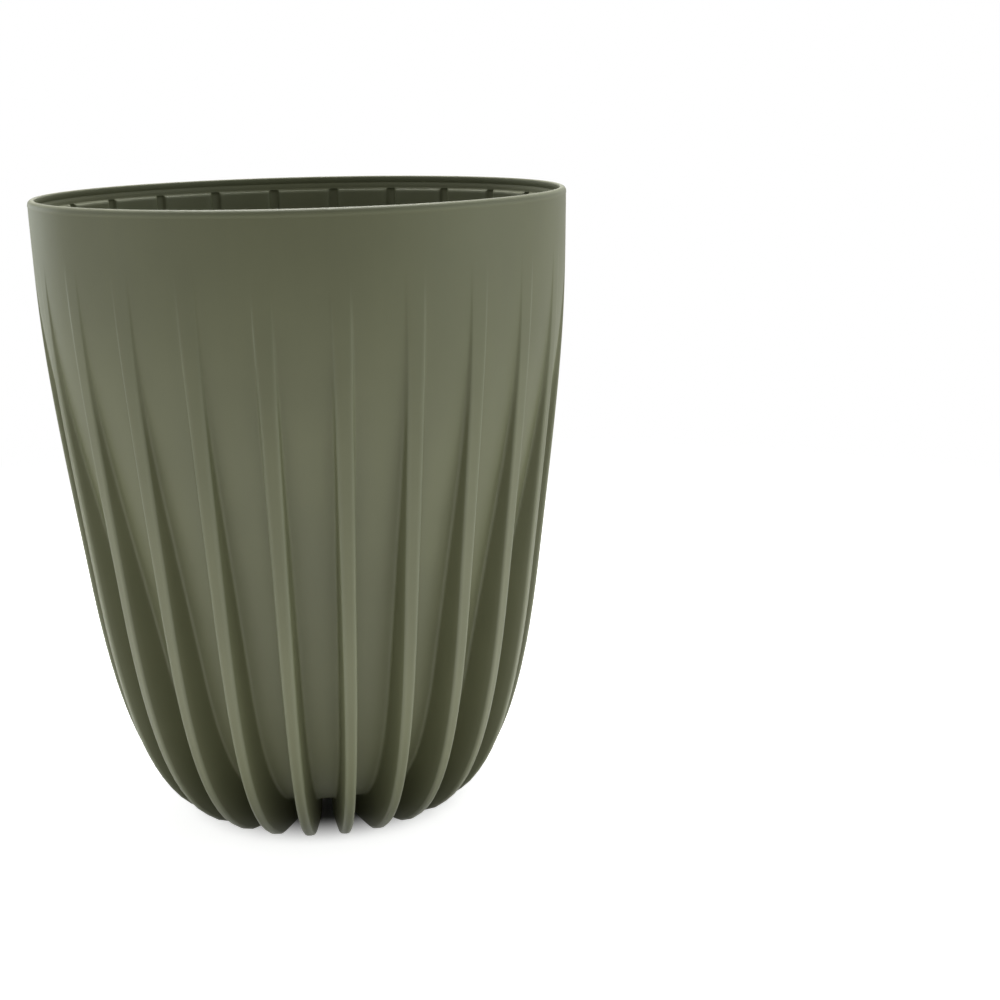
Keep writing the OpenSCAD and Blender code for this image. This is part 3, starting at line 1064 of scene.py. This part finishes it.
@dataclass
class Studio:
    """Pale floor, white surroundings, soft lamps and the camera."""

    profiles: PlanterProfiles
    ambient: float = 0.13
    floor_size: float = 12.0
    floor_tone: float = 0.8
    floor_return: float = 0.12
    floor_lift: float = 0.86
    # Within this reach of the axis the lift fades out, so the floor round the foot shows darker: painted
    # contact shade added to the rendered shadow.
    lift_reach: tuple[float, float] = (0.038, 0.074)
    floor_near: float = 0.35
    floor_far: float = 0.9
    floor_glow: float = 2.1
    glow_reach: tuple[float, float, float, float] = (0.11, 0.2, 0.33, 0.55)
    camera_distance: float = 6.831
    camera_rise: float = 0.397
    camera_turn: float = 0.81
    camera_yaw: float = 6.11
    camera_pitch: float = 13.34
    camera_roll: float = -1.19
    focal_pixels: float = 1779.5
    picture_pixels: float = 1000.0
    sensor: float = 36.0
    clip: tuple[float, float] = (0.01, 100.0)
    boxes: tuple[SoftBox, ...] = field(default_factory=lambda: (
        SoftBox("left_soft_box", (-1.1, -0.5, 0.35), (0, 0, 0.15), 0.8, 0.8, 1.3, COOL),
        SoftBox("right_soft_box", (1.1, -0.5, 0.35), (0, 0, 0.15), 0.8, 0.8, 2.7, COOL),
        SoftBox("left_low_box", (-1.6, -0.2, 0.15), (0, 0, 0.15), 0.5, 0.5, 1.2),
        SoftBox("right_low_box", (1.6, -0.2, 0.15), (0, 0, 0.15), 0.5, 0.5, 1.8),
        SoftBox("left_back_box", (-1.2, 1.3, 0.25), (0, 0, 0.15), 0.4, 0.7, 3.8, COOL),
        SoftBox("right_back_box", (1.2, 1.2, 0.6), (0, 0, 0.15), 1.2, 1.2, 1.0),
        SoftBox("back_soft_box", (0, 1.8, 0.7), (0, 0, 0.15), 1.2, 1.2, 4.0),
        SoftBox("high_left_box", (-0.9, 0, 1.3), (0, 0, 0.3), 0.7, 0.7, 1.0, COOL),
        SoftBox("high_right_box", (0.9, 0, 1.3), (0, 0, 0.3), 0.7, 0.7, 1.6, COOL),
        SoftBox("high_back_box", (0, 0.45, 1.3), (0, 0, 0.3), 0.8, 0.5, 17.0)))

    def surroundings(self) -> None:
        """Makes the world white to the eye and a plain soft light to the object."""
        world = bpy.data.worlds.new("white_surroundings")
        bpy.context.scene.world = world
        world.use_nodes = True
        tree = world.node_tree
        tree.nodes.clear()
        soft, white, mix, out = add_nodes(tree, "Background", "Background", "MixShader", "OutputWorld")
        for shade, strength in ((soft, self.ambient), (white, 1.0)):
            shade.inputs["Strength"].default_value = strength
            shade.inputs["Color"].default_value = WHITE
        tree.links.new(seen_mask(tree), mix.inputs[0])
        wire(tree, (soft, mix, 1), (white, mix, 2), (mix, out, 0))

    def floor(self) -> bpy.types.Object:
        """Lays the floor, which looks white to the eye except round the planter's foot, where the
        lift is withheld as painted shade over the rendered shadow; to the object it is dim but
        for a glowing ring.

        Returns:
            The floor.
        """
        half = self.floor_size / 2
        corners = np.array([[-half, -half, 0], [half, -half, 0], [half, half, 0], [-half, half, 0]])
        made = mesh_object("studio_floor", corners, [(0, 1, 2, 3)])
        material = bpy.data.materials.new("white_floor")
        material.use_nodes = True
        tree = material.node_tree
        tree.nodes.clear()
        plain, dim = add_nodes(tree, "BsdfDiffuse", "BsdfDiffuse")
        lift, white, glow = add_nodes(tree, "Emission", "Emission", "Emission")
        both, back, away, mix, out = add_nodes(tree, "AddShader", "AddShader", "MixShader", "MixShader",
                                               "OutputMaterial")
        place, length, ring = add_nodes(tree, "TexCoord", "VectorMath", "Math")
        fade, rise, fall, clear = add_nodes(tree, *["MapRange"] * 4)
        length.operation, ring.operation = "LENGTH", "MULTIPLY"
        for shade, tone in ((plain, self.floor_tone), (dim, self.floor_return)):
            shade.inputs["Color"].default_value = (tone,) * 3 + (1,)
        tree.links.new(place.outputs["Object"], length.inputs[0])
        near, full, ease, end = self.glow_reach
        for shade, low, high, bottom, top in ((fade, self.floor_near, self.floor_far, 0.0, 1.0),
                                              (rise, near, full, 0.0, self.floor_glow),
                                              (fall, ease, end, 1.0, 0.0),
                                              (clear, *self.lift_reach, 0.0, self.floor_lift)):
            shade.interpolation_type = "SMOOTHSTEP"
            for key, value in (("From Min", low), ("From Max", high), ("To Min", bottom), ("To Max", top)):
                shade.inputs[key].default_value = value
            tree.links.new(length.outputs["Value"], shade.inputs["Value"])
        tree.links.new(seen_mask(tree), mix.inputs[0])
        wire(tree, (clear, lift, "Strength"), (rise, ring, 0), (fall, ring, 1), (ring, glow, "Strength"),
             (dim, back, 0), (glow, back, 1), (plain, both, 0), (lift, both, 1), (fade, away, 0),
             (both, away, 1), (white, away, 2), (back, mix, 1), (away, mix, 2), (mix, out, 0))
        made.data.materials.append(material)
        return made

    def camera(self) -> bpy.types.Object:
        """Places the camera where the photograph was taken from.

        Returns:
            The camera.
        """
        p = self.profiles
        turn = math.radians(self.camera_turn)
        yaw, pitch, roll = (math.radians(v) for v in (self.camera_yaw, self.camera_pitch, self.camera_roll))
        place = Vector((0, -self.camera_distance * p.rim_radius, p.height + self.camera_rise * p.rim_radius))
        way = Vector((math.sin(yaw) * math.cos(pitch), math.cos(yaw) * math.cos(pitch), -math.sin(pitch)))
        right = Vector((math.cos(yaw), -math.sin(yaw), 0))
        up = right.cross(way)
        cos, sin = math.cos(roll), math.sin(roll)
        right, up = right * cos + up * sin, up * cos - right * sin
        around = Matrix.Rotation(turn, 3, "Z")
        lens = bpy.data.cameras.new("camera")
        lens.sensor_width = self.sensor
        lens.lens = self.focal_pixels / self.picture_pixels * self.sensor
        lens.clip_start, lens.clip_end = self.clip
        made = in_scene("camera", lens)
        axes = Matrix((around @ right, around @ up, -(around @ way))).transposed()
        made.matrix_world = Matrix.Translation(around @ place) @ axes.to_4x4()
        bpy.context.scene.camera = made
        return made

    def build(self) -> None:
        """Sets up the whole studio."""
        bpy.context.scene.view_settings.view_transform = "Standard"
        self.surroundings()
        self.floor()
        self.camera()
        for box in self.boxes:
            box.light()


def dress(piece: bpy.types.Object, material: bpy.types.Material) -> None:
    """Gives a piece its one material."""
    piece.data.materials.clear()
    piece.data.materials.append(material)
    LOG.info("%s: %d faces, %s", piece.name, len(piece.data.polygons), material.name)


def main() -> None:
    """Builds the studio and the planter's pieces in order."""
    low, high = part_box("finned_shell")
    profiles = PlanterProfiles(rim_radius=(high[0] - low[0]) / 2, height=high[2] - low[2])
    Studio(profiles).build()
    grain, tone = grain_group(), tone_group()
    insert = DrainageInsert(profiles)
    dress(FinnedShell(profiles).build(), SHELL_FINISH.material(grain, tone))
    dress(InnerPot(profiles, insert).build(), POT_FINISH.material(grain, tone))
    dress(insert.build(), INSERT_FINISH.material(grain, tone))


if __name__ == "__main__":
    logging.basicConfig(level=logging.INFO)
    main()
